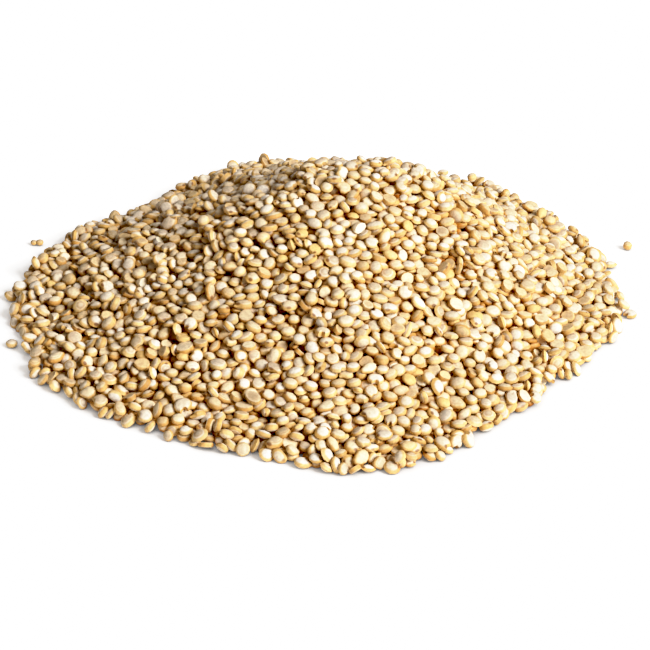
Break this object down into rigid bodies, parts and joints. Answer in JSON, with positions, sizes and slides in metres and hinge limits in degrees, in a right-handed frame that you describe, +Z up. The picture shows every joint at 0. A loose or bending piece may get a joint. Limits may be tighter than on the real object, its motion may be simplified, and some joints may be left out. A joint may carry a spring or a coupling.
{
  "type": "heap of quinoa",
  "caption": "Low heap of dry white quinoa as poured on a flat surface, with loose grains lying just clear of its edge.",
  "frame": {"origin": "middle of the object's box on the table, under the heap", "axes": "+Z up, -Y towards the side that the picture looks at, +X to the right in the picture"},
  "size_m": [0.1066, 0.1052, 0.0231],
  "materials": {
    "heap_seed_coat": "dry seed coat of white quinoa, matt with a faint waxy sheen, ivory to golden tan",
    "stray_seed_coat": "dry seed coat of white quinoa, matt with a faint waxy sheen"
  },
  "bodies": {
    "root": {"quinoa_heap": "heap_seed_coat", "stray_grain_left": "stray_seed_coat", "stray_grain_right": "stray_seed_coat"}
  },
  "joints": []
}
